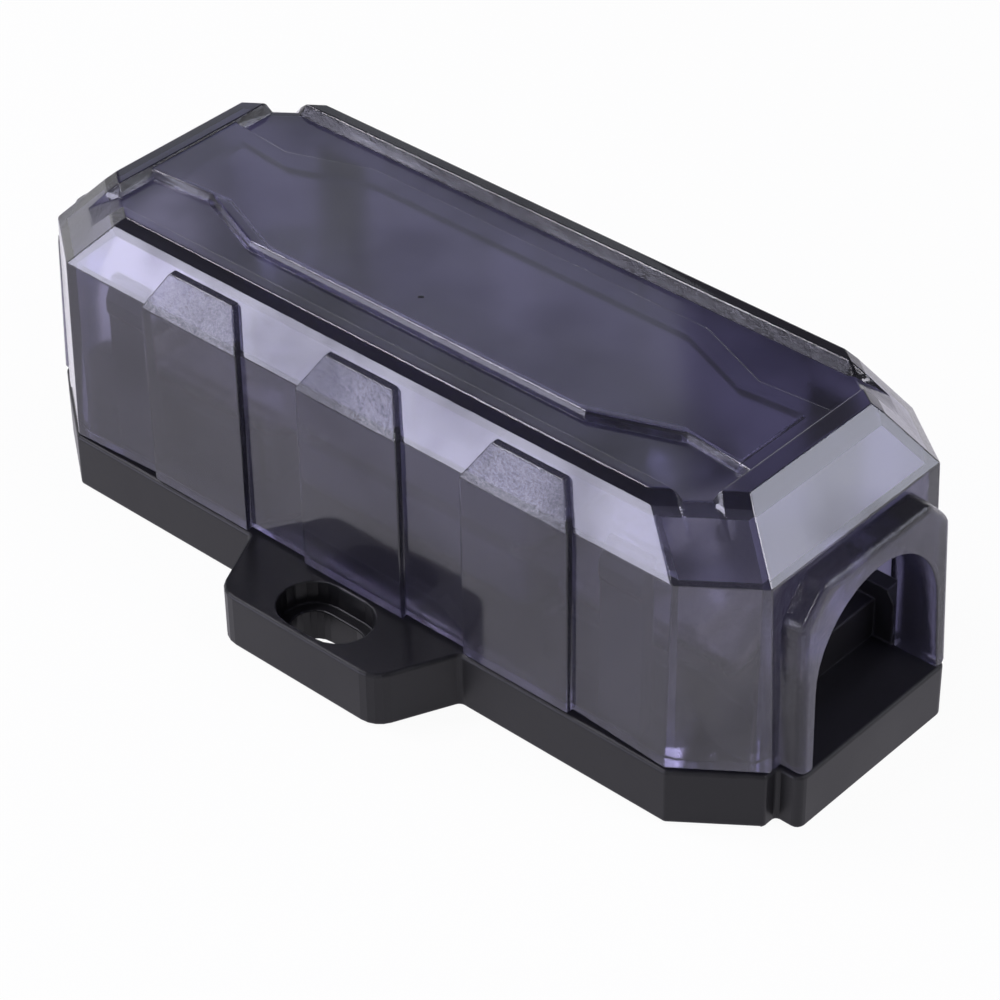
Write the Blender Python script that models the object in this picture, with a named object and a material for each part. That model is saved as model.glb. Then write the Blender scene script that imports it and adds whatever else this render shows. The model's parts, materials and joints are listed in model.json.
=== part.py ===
"""Inline blade-fuse holder: black moulded base with two ears, smoked lift-off cover, bolted strip fuse.

X runs along the cable, Y across it, Z up. The origin is the centre of the underside.
"""

import math

import bmesh
import bpy
from mathutils import Matrix, Vector

MM = 0.001  # the dimensions below are millimetres, the scene is in metres

# Clearances between pieces
SEAT_GAP = 0.35  # cover on base, arm on cover wall
STACK_GAP = 0.3  # between pieces clamped on a stud
BORE_GAP = 0.4  # round a stud
BODY_FLOAT = 0.8  # fuse body above the base

# Facets of every octagonal outline share this horizontal normal
FACET_X, FACET_Y = 0.6, 0.8

# Fuse
BODY_HALF, BODY_Y, BODY_T, BODY_CUT = 19.0, 11.0, 7.2, 1.6
STUD_ROOM, TONGUE = 11.5, 10.0  # body to stud, stud to the strip's end
LINK_SIDE, LINK_T = 0.5, 1.6
LINK_PLAY, LINK_HOLE_H = 0.45, 1.2  # strip hole: play round the stud, half its straight length
FUSE_NECK_X, FUSE_NECK_Y = 9.0, 3.0
WINDOW_HALF, WINDOW_Y, WINDOW_T = 9.0, 4.5, 1.2

# Terminals
STUD_R, STUD_PROUD = 4.0, 2.8
THREAD_PITCH, THREAD_DEPTH = 1.25, 0.5
HEAD_AF, HEAD_H, HEAD_Z = 13.0, 5.2, 0.9
PLATE_T, PLATE_NEAR, PLATE_FAR, PLATE_SIDE = 2.4, 0.8, 3.3, 1.4  # the last three: in from the deck
WASHER_R, WASHER_T = 8.0, 1.6
LOCK_R, LOCK_T, LOCK_TWIST = 6.9, 2.0, 0.45
NUT_AF, NUT_H = 13.0, 6.5

# Base
BASE_H = 7.5
END_ROOM, SIDE_ROOM = 15.3, 10.9  # fuse strip to the base's end, fuse body to its side
CORNER_CUT = 5.28  # depth of each corner facet
MOUTH_REACH, MOUTH_STEP, MOUTH_R = 3.2, 2.0, 1.1  # floor of the cable mouth
EAR_OUT, EAR_TIP_X, EAR_ROOT_X, EAR_R = 9.6, 12.3, 16.8, 3.4
EAR_WALL = 0.9  # counterbore to the ear's edge
SLOT_R, SLOT_H, SINK_STEP, SINK_DEPTH = 2.75, 2.15, 1.5, 3.2
EDGE_BREAK = 0.3
DECK_GAP, DECK_END, DECK_SIDE = 3.0, 6.0, 1.0  # from the fuse body, the base's end and the body's side
CHEEK_IN, CHEEK_T, CHEEK_RISE, CHEEK_CUT = 2.0, 1.9, 7.4, 1.8
LIP_RISE, LIP_T, LIP_HALF, LIP_RAMP = 3.7, 1.8, 17.5, 6.0
ARM_X, ARM_HALF, ARM_T, ARM_ROOT = 38.5, 3.1, 1.7, 0.8
ARM_DROP, ARM_LEAD = 1.15, 0.7
BARB_H, BARB_OUT = 2.4, 0.3
POCKET_ROOF, POCKET_SIDE, RIB = 2.5, 5.4, 2.1

# Cover
WALL, WALL_RISE = 2.0, 25.15
FOOT_END, FOOT_SIDE, FOOT_FACET = 0.3, 0.1, 0.22
BREAK_END, BREAK_FACET = 1.05, 0.87
CROWN_RISE, CROWN_END, CROWN_SIDE, CROWN_FACET = 7.25, 6.6, 4.0, 7.23
PAD_X, PAD_HALF, PAD_TOP_HALF, PAD_OUT, PAD_RISE = 25.1, 7.85, 5.2, 0.85, 4.6
RIM_X, RIM_Y, RIM_SLOPE, TROUGH = 2.35, 1.75, 0.6, 1.4
PANEL_DROP, PANEL_FOOT = 0.35, 0.35  # below the crown, foot beyond the top edge
FLARE, NECK, BELLY = 7.2, 6.4, 10.6  # half widths of the top panel: ends, necks, middle
NECK_X, BELLY_X = 36.5, 25.7
GROOVE_HALF, GROOVE_HALF_LOW, GROOVE_REACH = 1.6, 2.05, 0.53
HOOD_LEAN = 0.036
HOOD_FOOT, HOOD_DRAW, HOOD_CHAMFER = 0.1, 0.25, 3.75
HOOD_DROP, HOOD_FALL = 0.95, 4.0
ARCH_SIDE, ARCH_ROOF, ARCH_SPREAD = 2.15, 3.0, 0.4

# Plan distances that follow from the ones above
STUD_X = BODY_HALF + STUD_ROOM
LINK_HALF, LINK_Y = STUD_X + TONGUE, BODY_Y - LINK_SIDE
LINK_HOLE_R = STUD_R + LINK_PLAY
BASE_X, BASE_Y = LINK_HALF + END_ROOM, BODY_Y + SIDE_ROOM
BASE_D = FACET_X * BASE_X + FACET_Y * BASE_Y - CORNER_CUT
END_X, END_Y = BASE_X + MOUTH_REACH, BASE_Y - CORNER_CUT / FACET_Y - MOUTH_STEP
EAR_Y = BASE_Y + EAR_OUT
SINK_R = SLOT_R + SINK_STEP
SLOT_Y = EAR_Y - EAR_WALL - SINK_R
DECK_IN, DECK_OUT, DECK_Y = BODY_HALF + DECK_GAP, BASE_X - DECK_END, BODY_Y + DECK_SIDE
PLATE_Y = DECK_Y - PLATE_SIDE
FOOT_X, FOOT_Y, FOOT_D = BASE_X + FOOT_END, BASE_Y - FOOT_SIDE, BASE_D - FOOT_FACET
BREAK_X, BREAK_Y, BREAK_D = FOOT_X - BREAK_END, BASE_Y - PAD_OUT, BASE_D - BREAK_FACET
CROWN_X, CROWN_Y, CROWN_D = BREAK_X - CROWN_END, BREAK_Y - CROWN_SIDE, BREAK_D - CROWN_FACET
INNER_X, INNER_Y, INNER_D = BREAK_X - WALL, BREAK_Y - WALL, BREAK_D - WALL
CHEEK_OUT = INNER_X - STACK_GAP - 0.25
ARM_Y = INNER_Y - SEAT_GAP - BARB_OUT
HOOD_Y, HOOD_Y_TOP = END_Y + HOOD_FOOT, END_Y - HOOD_DRAW
HOOD_CREST = HOOD_Y_TOP - HOOD_CHAMFER
ARCH_R = HOOD_Y_TOP - ARCH_SIDE

# Levels that follow
SEAT_Z = BASE_H + SEAT_GAP
LINK_Z = BASE_H + BODY_FLOAT + BODY_T + STACK_GAP
PLATE_Z = LINK_Z - STACK_GAP - PLATE_T
DECK_TOP = PLATE_Z - STACK_GAP
CHEEK_TOP, LIP_TOP = BASE_H + CHEEK_RISE, BASE_H + LIP_RISE
WASHER_Z = LINK_Z + LINK_T + STACK_GAP
LOCK_Z = WASHER_Z + WASHER_T + STACK_GAP
NUT_Z = LOCK_Z + LOCK_T + STACK_GAP
STUD_TIP = NUT_Z + NUT_H + STUD_PROUD
BREAK_Z = BASE_H + WALL_RISE
CROWN_Z = BREAK_Z + CROWN_RISE
TROUGH_Z = CROWN_Z - TROUGH
ROOF_Z = TROUGH_Z - WALL
ARM_TOP = BREAK_Z - ARM_DROP
HOOD_TOP = BREAK_Z - HOOD_DROP
HOOD_SHOULDER = HOOD_TOP - HOOD_FALL
ARCH_Z = HOOD_TOP - ARCH_ROOF - ARCH_R

COLOURS = {
    "black_plastic": ((0.018, 0.018, 0.020), 0.0, 0.42, 0.0),
    "smoked_plastic": ((0.30, 0.30, 0.40), 0.0, 0.15, 0.85),
    "brass": ((0.72, 0.55, 0.27), 1.0, 0.32, 0.0),
    "steel": ((0.55, 0.56, 0.58), 1.0, 0.30, 0.0),
    "tinned_copper": ((0.66, 0.64, 0.60), 1.0, 0.36, 0.0),
    "fuse_plastic": ((0.05, 0.05, 0.055), 0.0, 0.50, 0.0),
    "clear_plastic": ((0.80, 0.82, 0.84), 0.0, 0.10, 0.90),
}


def clear_scene():
    """Removes everything the scene opens with."""
    for obj in list(bpy.data.objects):
        bpy.data.objects.remove(obj, do_unlink=True)


def finish_of(key, node):
    """A Principled material for one node, from the table of finishes."""
    colour, metal, rough, clear = COLOURS[key]
    material = bpy.data.materials.new(node + "_finish")
    material.use_nodes = True
    shader = material.node_tree.nodes["Principled BSDF"]
    shader.inputs["Base Color"].default_value = (*colour, 1.0)
    shader.inputs["Metallic"].default_value = metal
    shader.inputs["Roughness"].default_value = rough
    shader.inputs["Transmission Weight"].default_value = clear
    material.diffuse_color = (*colour, 1.0)
    return material


def mesh_from(name, verts, faces):
    """A mesh in metres from millimetre points, with its normals turned outwards."""
    mesh = bpy.data.meshes.new(name)
    mesh.from_pydata([Vector(v) * MM for v in verts], [], faces)
    work = bmesh.new()
    work.from_mesh(mesh)
    bmesh.ops.recalc_face_normals(work, faces=work.faces)
    work.to_mesh(mesh)
    work.free()
    return mesh


def loft(name, rings):
    """A closed solid through rings of equally many points, capped at both ends."""
    count = len(rings[0])
    verts = [point for ring in rings for point in ring]
    faces = [list(range(count)), list(range(len(verts) - count, len(verts)))]
    for start in range(0, len(verts) - count, count):
        for i in range(count):
            j = (i + 1) % count
            faces.append([start + i, start + j, start + count + j, start + count + i])
    return mesh_from(name, verts, faces)


def prism(name, outline, low, high):
    """An outline in X and Y made solid between two heights."""
    return loft(name, [[(x, y, z) for x, y in outline] for z in (low, high)])


def box(name, low, high):
    """A block between two corners."""
    outline = [(low[0], low[1]), (high[0], low[1]), (high[0], high[1]), (low[0], high[1])]
    return prism(name, outline, low[2], high[2])


def mirrored(mesh, x=1, y=1):
    """A copy of a mesh turned over to the other side of X, of Y or of both."""
    copy = mesh.copy()
    copy.transform(Matrix.Diagonal((x, y, 1, 1)))
    if x * y < 0:
        copy.flip_normals()
    return copy


def both_ends(mesh):
    return [mesh, mirrored(mesh, x=-1)]


def both_sides(mesh):
    return [mesh, mirrored(mesh, y=-1)]


def four_corners(mesh):
    return [mirrored(mesh, x, y) for x in (1, -1) for y in (1, -1)]


def combined(mesh, steps):
    """The mesh after each (operation, other mesh) of the steps, with exact Booleans."""
    body = bpy.data.objects.new("work", mesh)
    bpy.context.scene.collection.objects.link(body)
    tools = []
    for operation, other in steps:
        tool = bpy.data.objects.new("tool", other)
        bpy.context.scene.collection.objects.link(tool)
        cut = body.modifiers.new("step", "BOOLEAN")
        cut.operation = operation
        cut.solver = "EXACT"
        cut.object = tool
        tools.append(tool)
    bpy.context.view_layer.update()
    graph = bpy.context.evaluated_depsgraph_get()
    result = bpy.data.meshes.new_from_object(body.evaluated_get(graph))
    for obj in [body, *tools]:
        bpy.data.objects.remove(obj, do_unlink=True)
    work = bmesh.new()
    work.from_mesh(result)
    bmesh.ops.dissolve_limit(work, angle_limit=0.002, verts=work.verts, edges=work.edges)
    work.to_mesh(result)
    work.free()
    return result


def node(name, mesh, finish, parent=None, at=(0, 0, 0)):
    """A named object at its own place, its mesh given in the frame of the whole part."""
    mesh.name = name
    place = Vector(at) * MM
    mesh.transform(Matrix.Translation(-place))
    mesh.materials.clear()
    mesh.materials.append(finish_of(finish, name))
    obj = bpy.data.objects.new(name, mesh)
    bpy.context.scene.collection.objects.link(obj)
    obj.location = place
    if parent:
        obj.parent = parent
        obj.location = place - parent.location
    return obj


def octagon(x, y, d):
    """Corners of the octagon with these end, side and facet distances, from +X +Y anticlockwise."""
    long_x = (d - FACET_Y * y) / FACET_X
    short_y = (d - FACET_X * x) / FACET_Y
    quarter = [(x, short_y), (long_x, y)]
    return (
        quarter
        + [(-a, b) for a, b in reversed(quarter)]
        + [(-a, -b) for a, b in quarter]
        + [(a, -b) for a, b in reversed(quarter)]
    )


def stadium(x, y, half, radius, steps=10):
    """A slot outline with straight sides along X."""
    points = []
    for side in (1, -1):
        for i in range(steps + 1):
            turn = math.pi * (i / steps - 0.5) + (0 if side > 0 else math.pi)
            points.append((x + side * half + radius * math.cos(turn), y + radius * math.sin(turn)))
    return points


def circle(x, y, radius, steps=32, phase=0.0):
    turns = [phase + 2 * math.pi * i / steps for i in range(steps)]
    return [(x + radius * math.cos(t), y + radius * math.sin(t)) for t in turns]


def hexagon(x, y, across):
    turns = [math.pi * i / 3 for i in range(6)]
    radius = across / math.sqrt(3)
    return [(x + radius * math.cos(t), y + radius * math.sin(t)) for t in turns]


def rounded(corners, steps=5):
    """An outline from (x, y, radius) corners, each arc tangent to its two sides."""
    points = []
    for i, (x, y, radius) in enumerate(corners):
        here = Vector((x, y))
        if not radius:
            points.append(here)
            continue
        back = (Vector(corners[i - 1][:2]) - here).normalized()
        ahead = (Vector(corners[(i + 1) % len(corners)][:2]) - here).normalized()
        half = back.angle(ahead) / 2
        centre = here + (back + ahead).normalized() * radius / math.sin(half)
        start = (here + back * radius / math.tan(half) - centre).normalized()
        end = (here + ahead * radius / math.tan(half) - centre).normalized()
        for k in range(steps + 1):
            points.append(centre + radius * start.slerp(end, k / steps))
    return [tuple(point) for point in points]


def inset(outline, by):
    """An anticlockwise outline moved inwards by one distance on every side."""
    moved = []
    count = len(outline)
    for i, point in enumerate(outline):
        here = Vector(point)
        first = (here - Vector(outline[i - 1])).normalized()
        second = (Vector(outline[(i + 1) % count]) - here).normalized()
        normal = Vector((-first.y - second.y, first.x + second.x)).normalized()
        side = Vector((-first.y, first.x))
        moved.append(tuple(here + normal * by / max(normal.dot(side), 0.2)))
    return moved


def base_outline():
    """The base seen from above: octagon, cable mouths at both ends and an ear on each side."""
    long_x, side_y = octagon(BASE_X, BASE_Y, BASE_D)[1]
    end_x, short_y = octagon(BASE_X, BASE_Y, BASE_D)[0]
    quarter = [
        (END_X, END_Y, MOUTH_R),
        (end_x, END_Y, 0.5),
        (end_x, short_y, 0.5),
        (long_x, side_y, 0),
        (EAR_ROOT_X, side_y, 0.8),
        (EAR_TIP_X, EAR_Y, EAR_R),
    ]
    corners = (
        quarter
        + [(-x, y, r) for x, y, r in reversed(quarter)]
        + [(-x, -y, r) for x, y, r in quarter]
        + [(x, -y, r) for x, y, r in reversed(quarter)]
    )
    return rounded(corners, 4)


def base_plate():
    """The plate, its upper and lower edges broken."""
    outline = base_outline()
    broken = inset(outline, EDGE_BREAK)
    heights = [
        (broken, 0),
        (outline, EDGE_BREAK),
        (outline, BASE_H - EDGE_BREAK),
        (broken, BASE_H),
    ]
    return loft("plate", [[(x, y, z) for x, y in ring] for ring, z in heights])


def deck():
    """The raised seat of one terminal, sunk a little into the plate."""
    return box("deck", (DECK_IN, -DECK_Y, BASE_H - 1), (DECK_OUT, DECK_Y, DECK_TOP))


def cheek():
    """The low wall beside one terminal, its outer top corner cut off."""
    low, high = DECK_Y - 0.4, DECK_Y + CHEEK_T
    near = DECK_IN + CHEEK_IN
    side = [
        (near, BASE_H - 1),
        (CHEEK_OUT, BASE_H - 1),
        (CHEEK_OUT, CHEEK_TOP - CHEEK_CUT),
        (CHEEK_OUT - CHEEK_CUT / 1.6, CHEEK_TOP),
        (near + CHEEK_CUT, CHEEK_TOP),
        (near, CHEEK_TOP - CHEEK_CUT),
    ]
    return loft("cheek", [[(x, y, z) for x, z in side] for y in (low, high)])


def lip():
    """The locating lip inside the middle of one long wall, with ramped ends."""
    outer = INNER_Y - SEAT_GAP
    side = [
        (-LIP_HALF - 1.6, BASE_H - 1),
        (LIP_HALF + 1.6, BASE_H - 1),
        (LIP_HALF - LIP_RAMP, LIP_TOP),
        (LIP_RAMP - LIP_HALF, LIP_TOP),
    ]
    return loft("lip", [[(x, y, z) for x, z in side] for y in (outer - LIP_T, outer)])


def arm():
    """One upright spring arm with a lead-in and a shallow barb near its top."""
    inner, outer = ARM_Y - ARM_T, ARM_Y
    barb = ARM_TOP - 2 * BARB_H
    section = [
        (inner - ARM_ROOT, BASE_H - 1),
        (outer, BASE_H - 1),
        (outer, barb),
        (outer + BARB_OUT, barb + ARM_LEAD),
        (outer + BARB_OUT, barb + BARB_H),
        (outer - ARM_LEAD, ARM_TOP),
        (inner, ARM_TOP),
    ]
    ends = (ARM_X - ARM_HALF, ARM_X + ARM_HALF)
    return loft("arm", [[(x, y, z) for y, z in section] for x in ends])


def ear_slot():
    """Through slot and counterbore of one ear, in one stepped tool."""
    slot = prism("slot", stadium(0, SLOT_Y, SLOT_H, SLOT_R), -1, BASE_H)
    sink = prism("sink", stadium(0, SLOT_Y, SLOT_H, SINK_R), BASE_H - SINK_DEPTH, BASE_H + 1)
    return combined(slot, [("UNION", sink)])


def stud_well():
    """Hexagonal pocket for a bolt head under the deck, and the hole above it."""
    roof = HEAD_Z + HEAD_H + STACK_GAP
    well = prism("well", hexagon(STUD_X, 0, HEAD_AF + 2 * BORE_GAP), -1, roof)
    hole = prism("hole", circle(STUD_X, 0, STUD_R + BORE_GAP), roof - 1, DECK_TOP + 1)
    return combined(well, [("UNION", hole)])


def underside_pockets():
    """Weight-saving pockets open below: middle, under the deck and under the cable mouth."""
    thin = BASE_H - POCKET_ROOF
    side, deck_y, mouth_y = BASE_Y - POCKET_SIDE, DECK_Y - RIB, END_Y - RIB
    well_end = STUD_X + (HEAD_AF + 2 * BORE_GAP) / math.sqrt(3)
    deck_top = DECK_TOP - POCKET_ROOF
    middle = box("middle", (1.7 * RIB, -side, -1), (DECK_IN - RIB, side, thin))
    under_deck = box("under_deck", (well_end + RIB, -deck_y, -1), (DECK_OUT - RIB, deck_y, deck_top))
    mouth = box("mouth", (DECK_OUT + 0.3 * RIB, -mouth_y, -1), (END_X - RIB, mouth_y, thin))
    return [middle, under_deck, mouth]


def make_base():
    """The base housing as one moulding."""
    steps = [("UNION", mesh) for mesh in both_ends(deck())]
    steps += [("UNION", mesh) for mesh in four_corners(cheek())]
    steps += [("UNION", mesh) for mesh in both_sides(lip())]
    steps += [("UNION", mesh) for mesh in four_corners(arm())]
    steps += [("DIFFERENCE", mesh) for mesh in both_sides(ear_slot())]
    steps += [("DIFFERENCE", mesh) for mesh in both_ends(stud_well())]
    for pocket in underside_pockets():
        steps += [("DIFFERENCE", mesh) for mesh in both_ends(pocket)]
    return node("base_housing", combined(base_plate(), steps), "black_plastic")


def crown_at(z, thickness=0.0):
    """End, side and facet distances of the sloping crown at a height, moved in by a thickness."""
    share = (z - BREAK_Z) / (CROWN_Z - BREAK_Z)
    rise = CROWN_Z - BREAK_Z
    pairs = ((BREAK_X, CROWN_X), (BREAK_Y, CROWN_Y), (BREAK_D, CROWN_D))
    return [
        low + (high - low) * share - thickness * math.hypot(rise, low - high) / rise
        for low, high in pairs
    ]


def waisted(outline, along, y):
    """An octagon with its long sides drawn in to one distance, between two points along X."""
    waist = [(along, y), (-along, y)]
    return outline[:2] + waist + outline[2:6] + [(-a, -b) for a, b in waist] + outline[6:]


def shell_outside():
    """The plain outside: walls flaring to the base at the corners, break, sloping crown."""
    pad_end = PAD_X + PAD_HALF + 0.6
    rings = [
        (octagon(FOOT_X, FOOT_Y, FOOT_D), BREAK_Y, SEAT_Z - 1),
        (octagon(BREAK_X, BREAK_Y, BREAK_D), BREAK_Y, BREAK_Z),
        (octagon(CROWN_X, CROWN_Y, CROWN_D), CROWN_Y, CROWN_Z),
    ]
    return loft("outside", [[(x, y, z) for x, y in waisted(ring, pad_end, side)] for ring, side, z in rings])


def shell_inside():
    """The hollow, one wall thickness inside the walls and the crown."""
    wall = octagon(INNER_X, INNER_Y, INNER_D)
    roof = octagon(*crown_at(ROOF_Z, WALL))
    turn = BREAK_Z - 0.37 * WALL
    rings = [(wall, SEAT_Z - 3), (wall, turn), (roof, ROOF_Z)]
    return loft("inside", [[(x, y, z) for x, y in ring] for ring, z in rings])


def panel_outline(grow, end):
    """The long hexagon of the raised top panel, its flared ends reaching to one X."""
    quarter = [(end, FLARE + grow), (NECK_X + grow, NECK + grow), (BELLY_X + grow, BELLY + grow)]
    return (
        quarter
        + [(-x, y) for x, y in reversed(quarter)]
        + [(-x, -y) for x, y in quarter]
        + [(x, -y) for x, y in reversed(quarter)]
    )


def panel_block():
    """The raised panel, its foot sunk in the floor and its ends in the rim."""
    top = CROWN_Z - PANEL_DROP
    slope = PANEL_FOOT / (top - TROUGH_Z)
    low = TROUGH_Z - 1
    end = CROWN_X - RIM_X + 1
    rings = [(panel_outline(slope * (top - z), end), z) for z in (low, top)]
    return loft("panel", [[(x, y, z) for x, y in ring] for ring, z in rings])


def panel_hollow():
    """The matching recess inside, so that the top keeps one wall thickness."""
    outline = panel_outline(-0.85 * WALL, CROWN_X - RIM_X - 1.5 * WALL)
    return prism("hollow", outline, ROOF_Z - 1, CROWN_Z - PANEL_DROP - WALL)


def top_pocket():
    """The sunken floor inside the rim, running out over the corner facets."""
    rings = []
    for z in (TROUGH_Z, CROWN_Z + 1):
        grow = RIM_SLOPE * (z - CROWN_Z)
        x, y = CROWN_X - RIM_X + grow, CROWN_Y - RIM_Y + grow
        rings.append([(x, y, z), (-x, y, z), (-x, -y, z), (x, -y, z)])
    return loft("pocket", rings)


def groove():
    """The scoop that carries the sunken floor out and down one corner facet, fading as it goes."""
    top, low = (
        (Vector(a) + Vector(b)) / 2
        for a, b, *_ in (octagon(CROWN_X, CROWN_Y, CROWN_D), octagon(BREAK_X, BREAK_Y, BREAK_D))
    )
    reach_z = CROWN_Z - GROOVE_REACH * (CROWN_Z - BREAK_Z)
    slope = (TROUGH_Z - reach_z) / GROOVE_REACH
    fall = (GROOVE_HALF_LOW - GROOVE_HALF) / GROOVE_REACH
    stations = [
        (-0.45, TROUGH_Z, GROOVE_HALF),
        (0.0, TROUGH_Z, GROOVE_HALF),
        (GROOVE_REACH + 0.1, reach_z - 0.1 * slope, GROOVE_HALF_LOW + 0.1 * fall),
    ]
    along = Vector((-FACET_Y, FACET_X))
    rings = []
    for share, z, half in stations:
        centre = top + (low - top) * share
        wide = half + 3 * RIM_SLOPE
        corners = ((-half, z), (half, z), (wide, z + 3), (-wide, z + 3))
        rings.append([(*(centre + along * width), height) for width, height in corners])
    return loft("groove", rings)


def pad(at):
    """One raised pad on a long wall: upright face, then a tapering face on the crown slope."""
    lean = (BREAK_Y - CROWN_Y) / (CROWN_Z - BREAK_Z)
    face = BREAK_Y + PAD_OUT
    bend = BREAK_Z + PAD_OUT * 0.25
    deep = PAD_OUT + 0.45 * WALL
    stations = [
        (SEAT_Z - 1, face, PAD_HALF),
        (bend, face, PAD_HALF),
        (bend + PAD_RISE, face - lean * PAD_RISE, PAD_TOP_HALF),
    ]
    rings = []
    for z, y, half in stations:
        rings.append([(at - half, y, z), (at + half, y, z), (at + half, y - deep, z), (at - half, y - deep, z)])
    return loft("pad", rings)


def hood_section(x_low, lean, grow):
    """The section of a cable hood on a plane that leans inwards going up."""
    half = [
        (HOOD_Y + grow, SEAT_Z - 1),
        (HOOD_Y_TOP + grow, HOOD_SHOULDER),
        (HOOD_CREST + grow, HOOD_TOP + grow),
    ]
    section = half + [(-y, z) for y, z in reversed(half)]
    return [(x_low - lean * (z - SEAT_Z), y, z) for y, z in section]


def hood():
    """The solid block of one cable hood, rooted in the end wall."""
    root = hood_section(BREAK_X - 0.5 * WALL, 0, 0.25)
    return loft("hood", [root, hood_section(END_X, HOOD_LEAN, 0)])


def arch():
    """The cable opening through hood and end wall, round at the top."""
    steps = 18
    foot = ARCH_R + ARCH_SPREAD
    section = [(foot, SEAT_Z - 2)]
    for i in range(steps + 1):
        turn = math.pi * i / steps
        section.append((ARCH_R * math.cos(turn), ARCH_Z + ARCH_R * math.sin(turn)))
    section.append((-foot, SEAT_Z - 2))
    ends = (INNER_X - 3, END_X + 2)
    return loft("arch", [[(x, y, z) for y, z in section] for x in ends])


def make_cover(base):
    """The smoked cover as one moulded shell, open below and at both cable mouths."""
    pads = [pad(x) for x in (-PAD_X, 0, PAD_X)]
    steps = [("UNION", mesh) for one in pads for mesh in both_sides(one)]
    steps += [("UNION", mesh) for mesh in both_ends(hood())]
    steps += [("DIFFERENCE", top_pocket())]
    steps += [("DIFFERENCE", mesh) for mesh in four_corners(groove())]
    steps += [("UNION", panel_block())]
    steps += [("DIFFERENCE", shell_inside()), ("DIFFERENCE", panel_hollow())]
    steps += [("DIFFERENCE", mesh) for mesh in both_ends(arch())]
    low, high = (-END_X - 1, -EAR_Y, SEAT_Z - BASE_H), (END_X + 1, EAR_Y, SEAT_Z)
    steps += [("DIFFERENCE", box("below", low, high))]
    cover = combined(shell_outside(), steps)
    return node("cover_shell", cover, "smoked_plastic", base, (0, 0, SEAT_Z))


def threaded_rod(x, low, high):
    """A rod of stacked V-shaped crests with a bevelled tip, as one turned solid."""
    core = STUD_R - THREAD_DEPTH
    rings = [circle(x, 0, STUD_R, 20), circle(x, 0, STUD_R, 20)]
    start = DECK_TOP - 1
    heights = [low, start]
    count = int((high - 1.2 - start) / THREAD_PITCH)
    for i in range(count):
        z = start + i * THREAD_PITCH
        rings += [circle(x, 0, core, 20), circle(x, 0, STUD_R, 20)]
        heights += [z + 0.5 * THREAD_PITCH, z + THREAD_PITCH]
    rings += [circle(x, 0, core - 0.3, 20)]
    heights += [high]
    return loft("rod", [[(a, b, z) for a, b in ring] for ring, z in zip(rings, heights)])


def make_stud(name, x, base):
    """A hexagon-headed bolt standing up through the deck."""
    head_top = HEAD_Z + HEAD_H
    head = prism("head", hexagon(x, 0, HEAD_AF), HEAD_Z, head_top)
    rod = threaded_rod(x, head_top - 1, STUD_TIP)
    return node(name, combined(head, [("UNION", rod)]), "steel", base, (x, 0, HEAD_Z))


def make_plate(name, side, base):
    """A brass contact plate on its deck, with rounded corners and a stud hole."""
    near, far = DECK_IN + PLATE_NEAR, DECK_OUT - PLATE_FAR
    corners = [(far, PLATE_Y, 3.0), (near, PLATE_Y, 1.2), (near, -PLATE_Y, 1.2), (far, -PLATE_Y, 3.0)]
    plate = prism("plate", rounded(corners, 4), PLATE_Z, PLATE_Z + PLATE_T)
    hole = prism("hole", circle(STUD_X, 0, STUD_R + BORE_GAP), PLATE_Z - 1, PLATE_Z + PLATE_T + 1)
    mesh = mirrored(combined(plate, [("DIFFERENCE", hole)]), x=side)
    return node(name, mesh, "brass", base, (side * STUD_X, 0, PLATE_Z))


def make_link(base):
    """The fuse strip: two bolted tongues joined by a thin neck, one hole closed and one open."""
    quarter = [(LINK_HALF, LINK_Y), (BODY_HALF - 3, LINK_Y), (FUSE_NECK_X, FUSE_NECK_Y)]
    outline = (
        quarter
        + [(-x, y) for x, y in reversed(quarter)]
        + [(-x, -y) for x, y in quarter]
        + [(x, -y) for x, y in reversed(quarter)]
    )
    low, high = LINK_Z, LINK_Z + LINK_T
    strip = prism("strip", outline, low, high)
    closed = prism("closed", stadium(STUD_X, 0, LINK_HOLE_H, LINK_HOLE_R, 8), low - 1, high + 1)
    mouth, bottom = -LINK_HALF - TONGUE, LINK_HOLE_R + LINK_HOLE_H - STUD_X
    fork = rounded(
        [
            (mouth, LINK_HOLE_R, 0),
            (mouth, -LINK_HOLE_R, 0),
            (bottom, -LINK_HOLE_R, 0.97 * LINK_HOLE_R),
            (bottom, LINK_HOLE_R, 0.97 * LINK_HOLE_R),
        ],
        6,
    )
    tools = [closed, prism("fork", fork, low - 1, high + 1)]
    mesh = combined(strip, [("DIFFERENCE", tool) for tool in tools])
    return node("fuse_strip", mesh, "tinned_copper", base, (0, 0, LINK_Z))


def fuse_half(low, high, window):
    """One half of the fuse body, its outer edges cut off and, above, a seat for the window."""
    corners = ((1, 1), (-1, 1), (-1, -1), (1, -1))
    outline, face = [
        rounded([(x * (BODY_HALF - cut), y * (BODY_Y - cut), 1.5) for x, y in corners], 3)
        for cut in (0, BODY_CUT)
    ]
    up = 1 if window else -1
    inner, outer = (low, high) if window else (high, low)
    stations = [(outline, inner), (outline, outer - up * BODY_CUT), (face, outer)]
    mesh = loft("half", [[(x, y, z) for x, y in ring] for ring, z in stations])
    if not window:
        return mesh
    reach = (WINDOW_HALF + STACK_GAP, WINDOW_Y + STACK_GAP)
    floor = high - WINDOW_T - STACK_GAP
    seat = box("seat", (-reach[0], -reach[1], floor), (reach[0], reach[1], high + 1))
    slit = box("slit", (2 - WINDOW_HALF, 1.5 - WINDOW_Y, low - 1), (WINDOW_HALF - 2, WINDOW_Y - 1.5, high))
    return combined(mesh, [("DIFFERENCE", seat), ("DIFFERENCE", slit)])


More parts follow.
